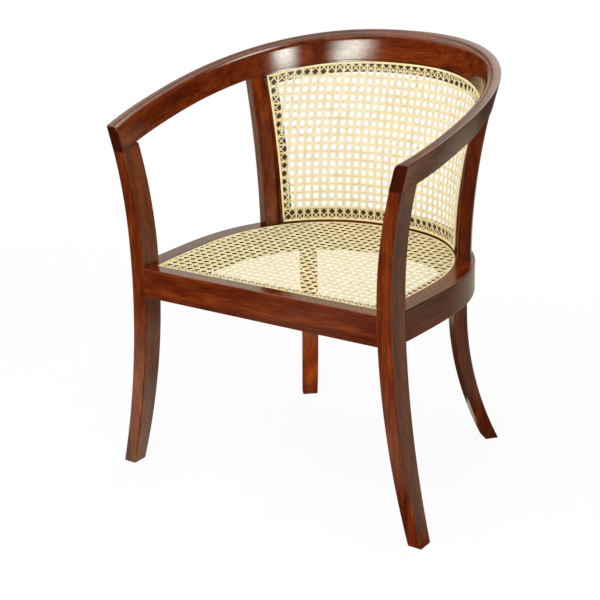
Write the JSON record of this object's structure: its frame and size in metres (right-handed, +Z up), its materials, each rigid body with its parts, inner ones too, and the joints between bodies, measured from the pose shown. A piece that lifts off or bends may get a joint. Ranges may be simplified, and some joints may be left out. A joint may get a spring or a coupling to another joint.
{
  "type": "tub armchair",
  "caption": "Low tub armchair to sit in: a tilted horseshoe top rail on curved legs and posts, a rounded seat hoop, and a caned seat and curved caned back.",
  "frame": {"origin": "on the floor, below the middle of the chair's bounding box", "axes": "+Z is up, the chair faces -Y, and +X is on the left of someone sitting in it"},
  "size_m": [0.709, 0.556, 0.8258],
  "materials": {
    "polished_wood": "stained red-brown, polished to a gloss",
    "cane": "natural, satin",
    "cane_cord": "natural, satin",
    "bare_wood": "unfinished",
    "screw_steel": "plain"
  },
  "bodies": {
    "root": {"arm_left": "polished_wood", "arm_right": "polished_wood", "crest_rail": "polished_wood", "front_leg_left": "polished_wood", "front_leg_right": "polished_wood", "back_leg_left": "polished_wood", "back_leg_right": "polished_wood", "back_post_left": "polished_wood", "back_post_right": "polished_wood", "front_rail": "polished_wood", "side_rail_left": "polished_wood", "side_rail_right": "polished_wood", "back_rail": "polished_wood", "panel_top": "polished_wood", "panel_bottom": "polished_wood", "panel_stile_left": "polished_wood", "panel_stile_right": "polished_wood", "seat_cane": "cane", "back_cane": "cane", "seat_spline": "cane_cord", "back_spline": "cane_cord", "crest_tenon_left": "bare_wood", "crest_tenon_right": "bare_wood", "hoop_tenon_left": "bare_wood", "hoop_tenon_right": "bare_wood", "corner_block_left": "bare_wood", "corner_block_right": "bare_wood", "block_screw_front_left": "screw_steel", "block_screw_front_right": "screw_steel", "block_screw_side_left": "screw_steel", "block_screw_side_right": "screw_steel"}
  },
  "joints": []
}
